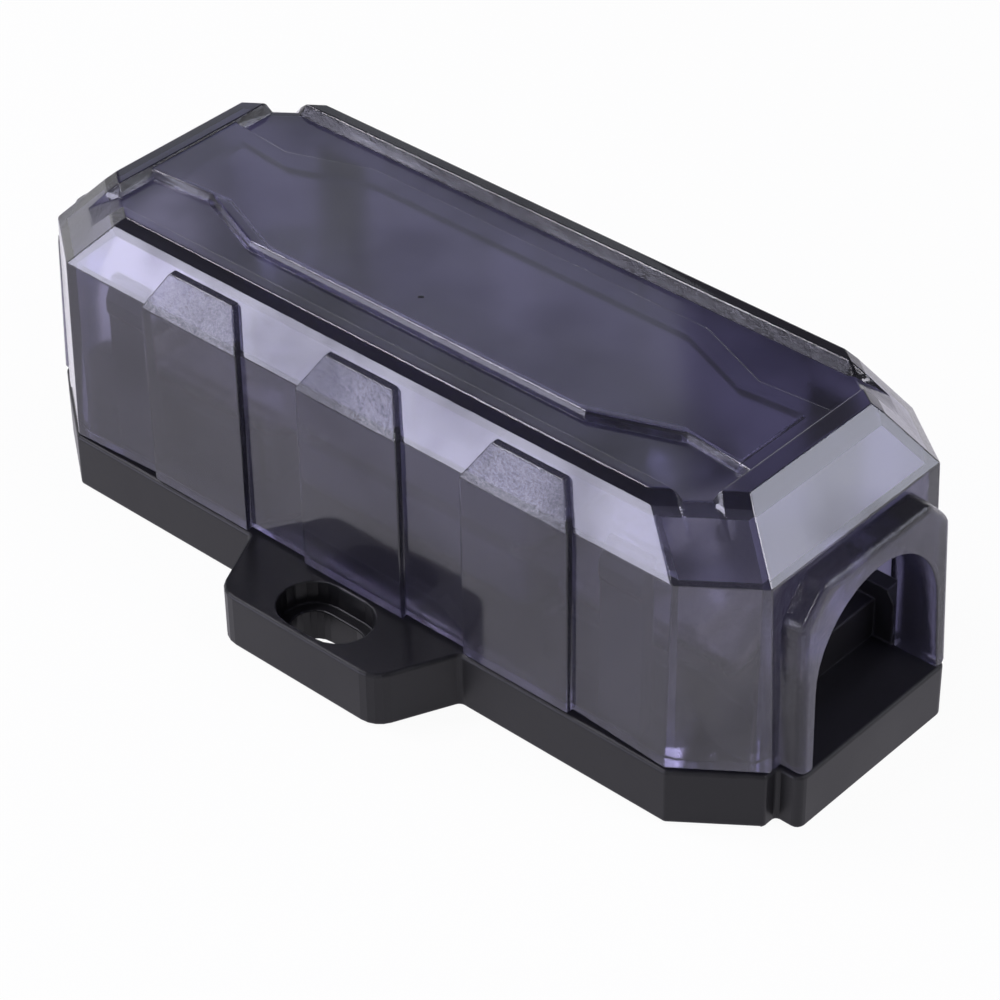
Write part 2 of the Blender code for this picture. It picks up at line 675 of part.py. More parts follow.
def make_fuse(base):
    """The fuse: strip, lower and upper body halves and the window over its neck."""
    strip = make_link(base)
    low_top = LINK_Z - STACK_GAP
    high_low = LINK_Z + LINK_T + STACK_GAP
    lower = fuse_half(low_top - BODY_T, low_top, False)
    upper = fuse_half(high_low, high_low + BODY_T, True)
    node("fuse_body_lower", lower, "fuse_plastic", base, (0, 0, low_top - BODY_T))
    node("fuse_body_upper", upper, "fuse_plastic", base, (0, 0, high_low))
    pane_low = high_low + BODY_T - WINDOW_T
    pane = box("pane", (-WINDOW_HALF, -WINDOW_Y, pane_low), (WINDOW_HALF, WINDOW_Y, pane_low + WINDOW_T))
    node("fuse_window", pane, "clear_plastic", base, (0, 0, pane_low))
    return strip


def ring_mesh(x, outer, low, high, steps=28):
    """A flat washer round a stud."""
    blank = prism("blank", circle(x, 0, outer, steps), low, high)
    hole = prism("hole", circle(x, 0, STUD_R + BORE_GAP, steps), low - 1, high + 1)
    return combined(blank, [("DIFFERENCE", hole)])


def lock_mesh(x, steps=26):
    """A split spring washer: a square-edged coil with its ends sprung apart."""
    rings = []
    gap = 0.16
    for i in range(steps + 1):
        share = i / steps
        turn = gap + (2 * math.pi - 2 * gap) * share
        rise = LOCK_TWIST * share
        thick = LOCK_T - LOCK_TWIST
        ring = []
        for radius, z in (
            (STUD_R + BORE_GAP, LOCK_Z + rise),
            (LOCK_R, LOCK_Z + rise),
            (LOCK_R, LOCK_Z + rise + thick),
            (STUD_R + BORE_GAP, LOCK_Z + rise + thick),
        ):
            ring.append((x + radius * math.cos(turn), radius * math.sin(turn), z))
        rings.append(ring)
    return loft("lock", rings)


def nut_mesh(x):
    """A hexagon nut, its corners chamfered top and bottom, bored clear of the thread."""
    blank = prism("blank", hexagon(x, 0, NUT_AF), NUT_Z, NUT_Z + NUT_H)
    corner = NUT_AF / math.sqrt(3) + 0.2
    flat = NUT_AF / 2 - 0.1
    stations = [
        (flat, NUT_Z - 0.3),
        (corner, NUT_Z + 0.8),
        (corner, NUT_Z + NUT_H - 0.8),
        (flat, NUT_Z + NUT_H + 0.3),
    ]
    turned = loft("turned", [[(a, b, z) for a, b in circle(x, 0, r, 30, 0.1)] for r, z in stations])
    hole = prism("hole", circle(x, 0, STUD_R + STACK_GAP, 24), NUT_Z - 1, NUT_Z + NUT_H + 1)
    return combined(blank, [("INTERSECT", turned), ("DIFFERENCE", hole)])


def make_fixings(base):
    """Bolt, contact plate, washers and nut at each end."""
    for label, side in (("left", -1), ("right", 1)):
        x = side * STUD_X
        make_stud("stud_" + label, x, base)
        make_plate("contact_plate_" + label, side, base)
        flat = ring_mesh(x, WASHER_R, WASHER_Z, WASHER_Z + WASHER_T)
        node("flat_washer_" + label, flat, "steel", base, (x, 0, WASHER_Z))
        node("lock_washer_" + label, lock_mesh(x), "steel", base, (x, 0, LOCK_Z))
        node("hex_nut_" + label, nut_mesh(x), "steel", base, (x, 0, NUT_Z))


def main():
    clear_scene()
    base = make_base()
    make_cover(base)
    make_fuse(base)
    make_fixings(base)


main()
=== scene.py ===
"""Looks of an inline strip fuse holder: satin black base, smoked cover, plated fixings and the fuse.

Every length is in metres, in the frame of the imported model: X along the cable, Y across it, Z up.
"""

from __future__ import annotations

import json
import logging
import math
from dataclasses import dataclass, field
from enum import Enum

import bmesh
import bpy
from mathutils import Euler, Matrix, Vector

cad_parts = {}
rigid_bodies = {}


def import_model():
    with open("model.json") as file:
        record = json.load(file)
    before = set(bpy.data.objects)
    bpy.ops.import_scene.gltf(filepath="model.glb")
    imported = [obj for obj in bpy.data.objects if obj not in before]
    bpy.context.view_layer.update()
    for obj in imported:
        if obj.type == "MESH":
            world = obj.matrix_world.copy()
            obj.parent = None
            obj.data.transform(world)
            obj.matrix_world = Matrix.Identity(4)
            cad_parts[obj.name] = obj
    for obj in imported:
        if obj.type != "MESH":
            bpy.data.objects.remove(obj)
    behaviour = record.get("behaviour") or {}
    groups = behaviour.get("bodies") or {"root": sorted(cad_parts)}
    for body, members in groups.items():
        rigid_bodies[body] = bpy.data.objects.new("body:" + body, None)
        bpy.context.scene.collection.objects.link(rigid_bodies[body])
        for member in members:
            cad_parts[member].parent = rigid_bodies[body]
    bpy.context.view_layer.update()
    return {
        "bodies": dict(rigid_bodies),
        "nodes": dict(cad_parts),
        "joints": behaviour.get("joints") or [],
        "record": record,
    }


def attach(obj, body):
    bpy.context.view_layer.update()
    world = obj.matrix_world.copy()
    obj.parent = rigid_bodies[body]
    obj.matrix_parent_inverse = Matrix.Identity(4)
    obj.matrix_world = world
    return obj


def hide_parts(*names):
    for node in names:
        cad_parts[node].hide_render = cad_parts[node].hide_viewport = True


LOG = logging.getLogger("fuse_holder")
MM = 0.001
WHITE = (1.0, 1.0, 1.0)
# Limits on the parts of a face's normal that tell how the face lies.
LEVEL = 0.95
SLANTED = 0.3
FLANK = 0.8
CROWN = 0.2
CEILING = -0.5
# Faces within this angle of each other count as one flat face.
FLAT_ANGLE = math.radians(0.6)
# Places of the colour sockets on a Mix node.
FIRST = 6
SECOND = 7
MIXED = 2

Colour = tuple[float, float, float]
Point = tuple[float, float, float]


class Body(Enum):
    """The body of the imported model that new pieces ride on."""

    COVER = "cover"


class Mask(Enum):
    """Masks that the smoked cover's mesh keeps on its faces for its shader."""

    GRAINED = "grained"
    INSIDE = "inside"
    # Painted shade: darkens the solid rim, the hoods' flanks and the trough.
    PAINTED_SHADE = "deep"
    COATED = "coated"


class Graph:
    """Short calls for filling one node tree."""

    def __init__(self, tree: bpy.types.NodeTree) -> None:
        """Keeps the node tree of a material, a world or a node group."""
        self.tree = tree

    def add(self, kind: str, **settings: object) -> bpy.types.Node:
        """Adds a node.

        Args:
            kind: The node's type name, without the leading ShaderNode.
            **settings: Attributes to set on the node.

        Returns:
            The new node.
        """
        node = self.tree.nodes.new("ShaderNode" + kind)
        for name, value in settings.items():
            setattr(node, name, value)
        return node

    def link(self, source: bpy.types.NodeSocket, *targets: bpy.types.NodeSocket) -> None:
        """Links one output socket to several input sockets."""
        for target in targets:
            self.tree.links.new(source, target)

    def math(self, operation: str, first: object, second: object = 0.0) -> bpy.types.NodeSocket:
        """Adds a Math node.

        Args:
            operation: Name of the Math operation.
            first: A socket or a number.
            second: A socket or a number.

        Returns:
            The node's output.
        """
        node = self.add("Math", operation=operation)
        for slot, value in zip(node.inputs, (first, second)):
            if isinstance(value, bpy.types.NodeSocket):
                self.link(value, slot)
            else:
                slot.default_value = value
        return node.outputs[0]

    def ramp(self, value: bpy.types.NodeSocket, low: float, high: float) -> bpy.types.NodeSocket:
        """Maps a value smoothly from a range onto 0 to 1.

        Args:
            value: The socket to map.
            low: The value that gives 0.
            high: The value that gives 1.

        Returns:
            The mapped value.
        """
        node = self.add("MapRange", interpolation_type="SMOOTHSTEP")
        self.link(value, node.inputs["Value"])
        node.inputs["From Min"].default_value = low
        node.inputs["From Max"].default_value = high
        return node.outputs["Result"]

    def total(self, start: object, *terms: tuple[bpy.types.NodeSocket, float]) -> bpy.types.NodeSocket:
        """Adds weighted values to a first one.

        Args:
            start: A socket or a number.
            *terms: Sockets with their weights.

        Returns:
            The sum.
        """
        result = start
        for value, weight in terms:
            result = self.math("ADD", self.math("MULTIPLY", value, weight), result)
        return result

    def mask(self, name: str) -> bpy.types.NodeSocket:
        """Reads a mask, 0 to 1, that the mesh keeps on its faces."""
        return self.add("Attribute", attribute_name=name).outputs["Fac"]

    def noise(self, scale: float, detail: float, rough: float = 0.5) -> bpy.types.NodeSocket:
        """Adds a noise in object space.

        Args:
            scale: Cells per metre.
            detail: Octaves.
            rough: Weight of the finer octaves.

        Returns:
            The noise value, around 0.5.
        """
        place = self.add("TexCoord")
        node = self.add("TexNoise")
        self.link(place.outputs["Object"], node.inputs["Vector"])
        node.inputs["Scale"].default_value = scale
        node.inputs["Detail"].default_value = detail
        node.inputs["Roughness"].default_value = rough
        return node.outputs["Fac"]


def new_group(name: str, inputs: dict[str, float], outputs: tuple[str, ...]) -> tuple[Graph, dict, dict]:
    """Starts a shader node group with number sockets.

    Args:
        name: Name of the group.
        inputs: Names of the inputs with their defaults.
        outputs: Names of the outputs.

    Returns:
        The group's graph, its input sockets and its output sockets by name.
    """
    tree = bpy.data.node_groups.new(name, "ShaderNodeTree")
    for label, default in inputs.items():
        socket = tree.interface.new_socket(label, in_out="INPUT", socket_type="NodeSocketFloat")
        socket.default_value = default
    for label in outputs:
        tree.interface.new_socket(label, in_out="OUTPUT", socket_type="NodeSocketFloat")
    graph = Graph(tree)
    entry = tree.nodes.new("NodeGroupInput")
    leave = tree.nodes.new("NodeGroupOutput")
    return graph, {s.name: s for s in entry.outputs}, {s.name: s for s in leave.inputs}


def mould_grain() -> bpy.types.NodeTree:
    """The fine spark-eroded texture of a mould.

    Returns:
        A group giving a height and a mask of its glints.
    """
    graph, into, out = new_group("mould_grain", {"Fine": 0.5, "Coarse": 0.5}, ("Height", "Glint"))
    fine = graph.noise(3400.0, 2.0, 0.6)
    coarse = graph.noise(900.0, 1.0)
    finer = graph.math("MULTIPLY", fine, into["Fine"])
    coarser = graph.math("MULTIPLY", coarse, into["Coarse"])
    graph.link(graph.math("ADD", finer, coarser), out["Height"])
    graph.link(graph.ramp(fine, 0.47, 0.62), out["Glint"])
    return graph.tree


def handling() -> bpy.types.NodeTree:
    """Faint smears and settled dust of a part that was picked up and put down.

    Returns:
        A group giving a smear mask and a dust mask.
    """
    graph, into, out = new_group("handling", {"Smear": 0.5, "Dust": 0.3}, ("Smear", "Dust"))
    broad = graph.ramp(graph.noise(55.0, 3.0, 0.55), 0.42, 0.68)
    graph.link(graph.math("MULTIPLY", broad, into["Smear"]), out["Smear"])
    normal = graph.add("NewGeometry")
    split = graph.add("SeparateXYZ")
    graph.link(normal.outputs["Normal"], split.inputs[0])
    upward = graph.ramp(split.outputs["Z"], 0.35, 0.95)
    specks = graph.ramp(graph.noise(1500.0, 2.0, 0.7), 0.60, 0.78)
    settled = graph.math("MULTIPLY", upward, specks)
    graph.link(graph.math("MULTIPLY", settled, into["Dust"]), out["Dust"])
    return graph.tree


def edge_wear_and_highlight() -> bpy.types.NodeTree:
    """Edges that are burnished or rubbed, and that carry a painted highlight, found by rounding the normal.

    Returns:
        A group giving a mask of the edges.
    """
    graph, into, out = new_group("edge_wear_and_highlight", {"Width": 0.0004, "Amount": 0.5}, ("Mask",))
    bevel = graph.add("Bevel", samples=4)
    graph.link(into["Width"], bevel.inputs["Radius"])
    plain = graph.add("NewGeometry")
    dot = graph.add("VectorMath", operation="DOT_PRODUCT")
    graph.link(bevel.outputs["Normal"], dot.inputs[0])
    graph.link(plain.outputs["Normal"], dot.inputs[1])
    turned = graph.math("SUBTRACT", 1.0, dot.outputs["Value"])
    broken = graph.ramp(graph.noise(700.0, 2.0), 0.30, 0.62)
    mask = graph.math("MULTIPLY", graph.ramp(turned, 0.004, 0.08), broken)
    graph.link(graph.math("MULTIPLY", mask, into["Amount"]), out["Mask"])
    return graph.tree


@dataclass
class Effects:
    """The shader node groups that several finishes share."""

    grain: bpy.types.NodeTree = field(default_factory=mould_grain)
    handling: bpy.types.NodeTree = field(default_factory=handling)
    wear_and_highlight: bpy.types.NodeTree = field(default_factory=edge_wear_and_highlight)

    def place(self, graph: Graph, tree: bpy.types.NodeTree, **values: float) -> bpy.types.Node:
        """Places a group in a material.

        Args:
            graph: The material's graph.
            tree: The group.
            **values: Values of the group's inputs.

        Returns:
            The group's node.
        """
        node = graph.add("Group", node_tree=tree)
        for name, value in values.items():
            node.inputs[name].default_value = value
        return node


def principled(
    name: str, colour: Colour, rough: float, metal: float
) -> tuple[bpy.types.Material, Graph, bpy.types.Node]:
    """A new material with its Principled shader.

    Args:
        name: Name of the material.
        colour: Base colour.
        rough: Roughness.
        metal: Metallic.

    Returns:
        The material, its graph and the shader.
    """
    material = bpy.data.materials.new(name)
    material.use_nodes = True
    shader = material.node_tree.nodes["Principled BSDF"]
    shader.inputs["Base Color"].default_value = (*colour, 1.0)
    shader.inputs["Roughness"].default_value = rough
    shader.inputs["Metallic"].default_value = metal
    material.diffuse_color = (*colour, 1.0)
    return material, Graph(material.node_tree), shader


def bump(
    graph: Graph, height: bpy.types.NodeSocket, strength: float, distance: float, shader: bpy.types.Node
) -> None:
    """Feeds a height into the shader's normal.

    Args:
        graph: The material's graph.
        height: The height, 0 to 1.
        strength: Strength of the bump.
        distance: Height that 1 stands for.
        shader: The shader to feed.
    """
    node = graph.add("Bump")
    node.inputs["Strength"].default_value = strength
    node.inputs["Distance"].default_value = distance
    graph.link(height, node.inputs["Height"])
    graph.link(node.outputs["Normal"], shader.inputs["Normal"])


def mix_colour(
    graph: Graph, share: bpy.types.NodeSocket, first: Colour, second: Colour
) -> bpy.types.NodeSocket:
    """Mixes two colours by a mask.

    Args:
        graph: The material's graph.
        share: The mask.
        first: Colour at 0.
        second: Colour at 1.

    Returns:
        The mixed colour.
    """
    node = graph.add("Mix", data_type="RGBA")
    graph.link(share, node.inputs["Factor"])
    node.inputs[FIRST].default_value = (*first, 1.0)
    node.inputs[SECOND].default_value = (*second, 1.0)
    return node.outputs[MIXED]


def mix_shaders(
    material: bpy.types.Material,
    graph: Graph,
    share: bpy.types.NodeSocket,
    first: bpy.types.Node,
    second: bpy.types.Node,
) -> None:
    """Mixes two shaders into the material's surface.

    Args:
        material: The material.
        graph: The material's graph.
        share: The second shader's share.
        first: Shader at 0.
        second: Shader at 1.
    """
    mix = graph.add("MixShader")
    graph.link(share, mix.inputs[0])
    graph.link(first.outputs[0], mix.inputs[1])
    graph.link(second.outputs[0], mix.inputs[2])
    graph.link(mix.outputs[0], material.node_tree.nodes["Material Output"].inputs["Surface"])


@dataclass(frozen=True)
class MouldedPlastic:
    """An opaque moulded plastic with a satin grain, edges that are rubbed and partly painted as highlights,
    and a little dust.
    """

    name: str
    colour: Colour
    # Colour of the edges, as real wear and as a painted highlight, and of the dust.
    edge_and_dust: Colour
    rough: float
    grain: float = 0.35
    gloss: float = 0.5
    clean_gloss: float = 0.03
    smear_rough: float = 0.10
    dust_pale: float = 0.6

    def build(self, effects: Effects) -> bpy.types.Material:
        """Builds the material.

        Args:
            effects: The shared groups.

        Returns:
            The material.
        """
        material, graph, shader = principled(self.name, self.colour, self.rough, 0.0)
        shader.inputs["Specular IOR Level"].default_value = self.gloss
        grain = effects.place(graph, effects.grain, Fine=0.6, Coarse=0.4)
        marks = effects.place(graph, effects.handling, Smear=0.6, Dust=0.10)
        # Edges take the edge colour as wear and as a painted highlight; the dust takes it too.
        wear_and_highlight = effects.place(graph, effects.wear_and_highlight, Width=0.35 * MM, Amount=0.6)
        dust = graph.math("MULTIPLY", marks.outputs["Dust"], self.dust_pale)
        pale = graph.math("MAXIMUM", wear_and_highlight.outputs["Mask"], dust)
        graph.link(mix_colour(graph, pale, self.colour, self.edge_and_dust), shader.inputs["Base Color"])
        dull = graph.total(self.rough - self.clean_gloss, (marks.outputs["Smear"], self.smear_rough))
        graph.link(dull, shader.inputs["Roughness"])
        bump(graph, grain.outputs["Height"], self.grain, 0.03 * MM, shader)
        return material


@dataclass(frozen=True)
class SeeThrough:
    """A see-through plastic, tinted through its thickness.

    The faces of a mesh may carry the values of Mask, which make them grained, dull, darkened by painted shade
    or glossy.
    """

    name: str
    colour: Colour
    tint: Colour
    density: float
    shade: Colour
    clear: float = 1.0
    gloss: float = 0.5
    rough: float = 0.06
    smear_rough: float = 0.06
    grained_rough: float = 0.14
    inside_rough: float = 0.22
    grain: float = 0.06
    grained_grain: float = 1.80
    # Colour of the painted shade; the speckle and the mottle darken towards it too.
    deep: Colour = (0.30, 0.29, 0.37)
    speckle: float = 0.32
    coat_speckle: float = 0.45
    coat_smear: float = 0.95
    coat_grained: float = 0.4
    cloud: float = 0.50
    refraction: float = 1.49

    def build(self, effects: Effects) -> bpy.types.Material:
        """Builds the material.

        Args:
            effects: The shared groups.

        Returns:
            The material.
        """
        material, graph, shader = principled(self.name, self.colour, self.rough, 0.0)
        shader.inputs["Transmission Weight"].default_value = self.clear
        shader.inputs["IOR"].default_value = self.refraction
        shader.inputs["Specular IOR Level"].default_value = self.gloss
        shader.inputs["Coat Roughness"].default_value = self.rough
        grain = effects.place(graph, effects.grain, Fine=0.45, Coarse=0.55)
        marks = effects.place(graph, effects.handling, Smear=0.7, Dust=0.3)
        grained = graph.mask(Mask.GRAINED.value)
        inside = graph.mask(Mask.INSIDE.value)
        smear = marks.outputs["Smear"]
        specks = graph.math("MULTIPLY", grained, grain.outputs["Glint"])
        rubbed = ((specks, -self.coat_speckle), (smear, -self.coat_smear), (grained, -self.coat_grained))
        left = graph.math("MAXIMUM", graph.total(1.0, *rubbed), 0.0)
        graph.link(graph.math("MULTIPLY", graph.mask(Mask.COATED.value), left), shader.inputs["Coat Weight"])
        # Painted shade from its mask, with random speckle and mottle, darkens the base colour.
        dark = graph.total(graph.mask(Mask.PAINTED_SHADE.value), (specks, self.speckle), (smear, self.cloud))
        dark = graph.math("MINIMUM", dark, 1.0)
        colour = mix_colour(graph, dark, self.colour, self.deep)
        graph.link(colour, shader.inputs["Base Color"])
        dull = ((smear, self.smear_rough), (grained, self.grained_rough), (inside, self.inside_rough))
        graph.link(graph.total(self.rough, *dull), shader.inputs["Roughness"])
        relief = graph.total(self.grain, (grained, self.grained_grain))
        height = graph.math("MULTIPLY", grain.outputs["Height"], relief)
        bump(graph, height, 1.0, 0.05 * MM, shader)
        absorb = graph.add("VolumeAbsorption")
        absorb.inputs["Color"].default_value = (*self.tint, 1.0)
        absorb.inputs["Density"].default_value = self.density
        graph.link(absorb.outputs[0], material.node_tree.nodes["Material Output"].inputs["Volume"])
        passing = graph.add("BsdfTransparent")
        passing.inputs["Color"].default_value = (*self.shade, 1.0)
        shadow = graph.add("LightPath").outputs["Is Shadow Ray"]
        mix_shaders(material, graph, shadow, shader, passing)
        return material


@dataclass(frozen=True)
class PlatedMetal:
    """A machined or rolled metal with a thin plating."""

    name: str
    colour: Colour
    stain: Colour
    rough: float
    glint: float = 0.08

    def build(self, effects: Effects) -> bpy.types.Material:
        """Builds the material.

        Args:
            effects: The shared groups.

        Returns:
            The material.
        """
        material, graph, shader = principled(self.name, self.colour, self.rough, 1.0)
        grain = effects.place(graph, effects.grain, Fine=0.7, Coarse=0.2)
        marks = effects.place(graph, effects.handling, Smear=0.8, Dust=0.1)
        stained = mix_colour(graph, marks.outputs["Smear"], self.colour, self.stain)
        graph.link(stained, shader.inputs["Base Color"])
        graph.link(graph.total(self.rough, (grain.outputs["Glint"], -self.glint)), shader.inputs["Roughness"])
        bump(graph, grain.outputs["Height"], 0.25, 0.02 * MM, shader)
        return material


@dataclass(frozen=True)
class Softening:
    """How the sharp edges of a moulded or machined node are broken."""

    radius: float
    segments: int = 3
    # In degrees: edges that turn less stay as they are.
    least_angle: float = 18.0
    weld: float = 0.02 * MM

    def apply(self, piece: bpy.types.Object, by_weight: bool = False) -> None:
        """Adds the modifiers that join flat faces, cut the large ones and round the edges between them.

        Args:
            piece: The object to soften.
            by_weight: Rounds the weighted edges in place of all sharp ones.
        """
        if not by_weight:
            weld = piece.modifiers.new("weld", "WELD")
            weld.merge_threshold = self.weld
            flat = piece.modifiers.new("flat", "DECIMATE")
            flat.decimate_type = "DISSOLVE"
            flat.angle_limit = FLAT_ANGLE
            cut = piece.modifiers.new("cut", "TRIANGULATE")
            cut.min_vertices = 5
        edge = piece.modifiers.new("edge", "BEVEL")
        edge.width = self.radius
        edge.segments = self.segments
        edge.limit_method = "WEIGHT" if by_weight else "ANGLE"
        edge.angle_limit = math.radians(self.least_angle)
        edge.use_clamp_overlap = False
        edge.miter_outer = "MITER_ARC"
        smooth = piece.modifiers.new("smooth", "WEIGHTED_NORMAL")
        smooth.keep_sharp = True


def new_piece(name: str, work: bmesh.types.BMesh, material: bpy.types.Material) -> bpy.types.Object:
    """Puts a finished mesh into the scene and frees the one it was worked in.

    Args:
        name: Name of the piece.
        work: The mesh that was worked in.
        material: The piece's material.

    Returns:
        The piece.
    """
    mesh = bpy.data.meshes.new(name)
    work.to_mesh(mesh)
    work.free()
    mesh.materials.append(material)
    piece = bpy.data.objects.new(name, mesh)
    bpy.context.scene.collection.objects.link(piece)
    return piece


def dress(node: bpy.types.Object, material: bpy.types.Material) -> None:
    """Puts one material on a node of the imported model.

    Args:
        node: The node's object.
        material: The material.
    """
    node.data.materials.clear()
    node.data.materials.append(material)
    LOG.info("dressed %s", node.name)


@dataclass
class CoverShell:
    """The smoked cover, its edges rounded and its outside and inside finished apart."""

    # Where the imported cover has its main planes.
    middle_z: float = 20.0 * MM
    inner_x: float = 53.05 * MM
    break_y: float = 21.05 * MM
    break_z: float = 32.65 * MM
    crown_lean: float = 4.0 / 7.25
    trough_z: float = 38.5 * MM
    deep_z: float = 38.60 * MM
    top_z: float = 39.90 * MM
    hood_y: float = 13.5 * MM
    arch_z: float = 17.8 * MM
    arch_clear: float = 12.0 * MM
    # How far past those planes a face or an edge belongs to a feature.
    wall_room: float = 0.2 * MM
    trough_room: float = 0.3 * MM
    pad_room: float = 0.35 * MM
    hood_start: float = 1.2 * MM
    hood_edge_start: float = 1.9 * MM
    hood_edge_room: float = 0.7 * MM
    flank_room: float = 0.1 * MM
    touching: float = 0.001 * MM
    merged: float = 0.1 * MM
    # Roundings, and the lean of the solid rim.
    edge_radius: float = 0.20 * MM
    hood_radius: float = 1.1 * MM
    least_angle: float = math.radians(18)
    rim_lean: float = 0.22 * MM
    # Values of the masks.
    facet_grain: float = 0.45
    wall_dull: float = 0.35
    # Painted shade on the hoods' flanks and in the trough.
    hood_painted_shade: float = 0.7
    trough_painted_shade: float = 0.70
    trough_coat: float = 0.25
    hood_coat: float = 0.40
    top_coat: float = 0.4
    wall_coat: float = 0.10

    def on_hood(self, centre: Vector, room: float = 0.0) -> bool:
        """Tells whether a face's middle lies on a cable hood, or within the room beside it."""
        return abs(centre.x) > self.inner_x + self.hood_start and abs(centre.y) < self.hood_y + room

    def on_facet(self, normal: Vector) -> bool:
        """Tells whether a face turns towards a corner of the cover."""
        return abs(normal.x) > SLANTED and abs(normal.y) > SLANTED

    def in_trough(self, centre: Vector, normal: Vector) -> bool:
        """Tells whether a face is the sunken floor round the raised panel."""
        return normal.z > LEVEL and abs(centre.z - self.trough_z) < self.trough_room

    def outward(self, centre: Vector, normal: Vector) -> float:
        """Tells how far a face looks away from the cover's axis, from -1 for inwards to 1."""
        return Vector((centre.x, centre.y, 0)).normalized().dot(normal)

    def grained(self, centre: Vector, normal: Vector) -> float:
        """Tells how grained a face of the outside is.

        Args:
            centre: The middle of the face.
            normal: The face's normal.

        Returns:
            The mask: 1 on hoods, pad tops and the rim's inner slopes, less on the corners.
        """
        above = max(centre.z - self.break_z, 0.0)
        on_pad = above > 0 and abs(centre.y) > self.break_y - above * self.crown_lean + self.pad_room
        upright = abs(normal.z) < LEVEL and self.outward(centre, normal) < SLANTED
        on_rim = centre.z > self.trough_z and upright
        if self.on_hood(centre) or on_pad or on_rim:
            return 1.0
        return self.facet_grain if self.on_facet(normal) else 0.0

    def inside(self, centre: Vector, normal: Vector) -> float:
        """Tells how dull a face of the inside is.

        Args:
            centre: The middle of the face.
            normal: The face's normal.

        Returns:
            The mask: 0 on the outside, 1 on ceilings, less on the inner walls.
        """
        towards = Vector((0, 0, self.middle_z)) - centre
        within = abs(centre.x) < self.inner_x + self.wall_room and centre.z < self.trough_z - self.trough_room
        if not within or towards.dot(normal) <= 0:
            return 0.0
        return 1.0 if normal.z < CEILING else self.wall_dull

    def deep(self, centre: Vector, normal: Vector) -> float:
        """Tells how much painted shade darkens a face of the outside, where the plastic behind it is thick.

        Args:
            centre: The middle of the face.
            normal: The face's normal.

        Returns:
            The mask: 1 on the outside of the solid rim, less on the hoods' flanks and in the trough.
        """
        on_flank = abs(normal.y) > FLANK and abs(centre.y) > self.arch_clear
        if on_flank and self.on_hood(centre, self.flank_room):
            return self.hood_painted_shade
        if self.in_trough(centre, normal):
            return self.trough_painted_shade
        outside = self.outward(centre, normal) > SLANTED and abs(normal.y) > SLANTED
        return 1.0 if centre.z > self.deep_z and outside else 0.0

    def coated(self, centre: Vector, normal: Vector) -> float:
        """Tells how glossy a face of the outside is.

        Args:
            centre: The middle of the face.
            normal: The face's normal.

        Returns:
            The mask: 1 on the crown and the corners, 0 on the solid rim, less elsewhere.
        """
        if self.deep(centre, normal) == 1:
            return 0.0
        if self.in_trough(centre, normal):
            return self.trough_coat
        if self.on_hood(centre):
            return self.hood_coat
        if normal.z > LEVEL:
            return self.top_coat
        if self.on_facet(normal) and centre.z < self.break_z:
            return 1.0
        on_wall = centre.z < self.break_z or normal.z < CROWN
        return self.wall_coat if on_wall else 1.0

    def edge_width(self, edge: bmesh.types.BMEdge) -> float:
        """Gives the rounding of an edge as a share of the hood's.

        Args:
            edge: An edge between two faces.

        Returns:
            The share, 0 for an edge that stays as it is.
        """
        if edge.calc_face_angle(0.0) < self.least_angle or not edge.is_convex:
            return 0.0
        from_arch = min(math.hypot(v.co.y, max(v.co.z - self.arch_z, 0)) for v in edge.verts)
        beyond = min(abs(v.co.x) for v in edge.verts) > self.inner_x + self.hood_edge_start
        beside = max(abs(v.co.y) for v in edge.verts) < self.hood_y + self.hood_edge_room
        low = max(v.co.z for v in edge.verts) < self.break_z
        if beyond and beside and low and from_arch > self.arch_clear:
            return 1.0
        return self.edge_radius / self.hood_radius

    def lean_rim(self, work: bmesh.types.BMesh) -> None:
        """Leans the outside of the solid rim in towards its top.

        Args:
            work: The cover's mesh, already cut where the rim starts.
        """
        for vert in work.verts:
            places = [(face.calc_center_median(), face.normal) for face in vert.link_faces]
            normals = [normal for centre, normal in places if self.deep(centre, normal) == 1]
            walls = [Vector((normal.x, normal.y, 0)).normalized() for normal in normals]
            if not walls or vert.co.z <= self.deep_z:
                continue
            pairs = [(one, other) for one in walls for other in walls]
            one, other = min(pairs, key=lambda pair: pair[0].dot(pair[1]))
            share = (vert.co.z - self.deep_z) / (self.top_z - self.deep_z)
            vert.co -= (one + other) * (self.rim_lean * share / (1 + one.dot(other)))

    def mark(self, work: bmesh.types.BMesh) -> None:
        """Writes the masks on the faces, and the roundings and creases on the edges.

        Args:
            work: The cover's mesh.
        """
        weights = work.edges.layers.float.new("bevel_weight_edge")
        layers = {mask: work.faces.layers.float.new(mask.value) for mask in Mask}
        for face in work.faces:
            face.smooth = True
            place = (face.calc_center_median(), face.normal)
            inner = self.inside(*place)
            face[layers[Mask.INSIDE]] = inner
            face[layers[Mask.GRAINED]] = 0.0 if inner else self.grained(*place)
            face[layers[Mask.PAINTED_SHADE]] = self.deep(*place)
            face[layers[Mask.COATED]] = 0.0 if inner else self.coated(*place)
        for edge in work.edges:
            edge[weights] = self.edge_width(edge)
            crease = all(abs(vert.co.z - self.deep_z) < self.touching for vert in edge.verts)
            edge.smooth = edge[weights] > 0 or (edge.calc_face_angle(0.0) < self.least_angle and not crease)

    def build(self, frame: dict, material: bpy.types.Material) -> None:
        """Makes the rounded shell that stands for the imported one.

        Args:
            material: The smoked finish.
        """
        work = bmesh.new()
        work.from_mesh(frame["nodes"]["cover_shell"].data)
        bmesh.ops.remove_doubles(work, verts=work.verts, dist=self.merged)
        bmesh.ops.dissolve_limit(work, angle_limit=FLAT_ANGLE, verts=work.verts, edges=work.edges)
        whole = [*work.verts, *work.edges, *work.faces]
        bmesh.ops.bisect_plane(work, geom=whole, plane_co=(0, 0, self.deep_z), plane_no=(0, 0, 1))
        work.normal_update()
        self.lean_rim(work)
        work.normal_update()
        self.mark(work)
        shell = new_piece("smoked_shell", work, material)
        Softening(self.hood_radius).apply(shell, by_weight=True)
        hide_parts("cover_shell")
        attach(shell, Body.COVER.value)
        LOG.info("built smoked_shell: %d faces", len(shell.data.polygons))


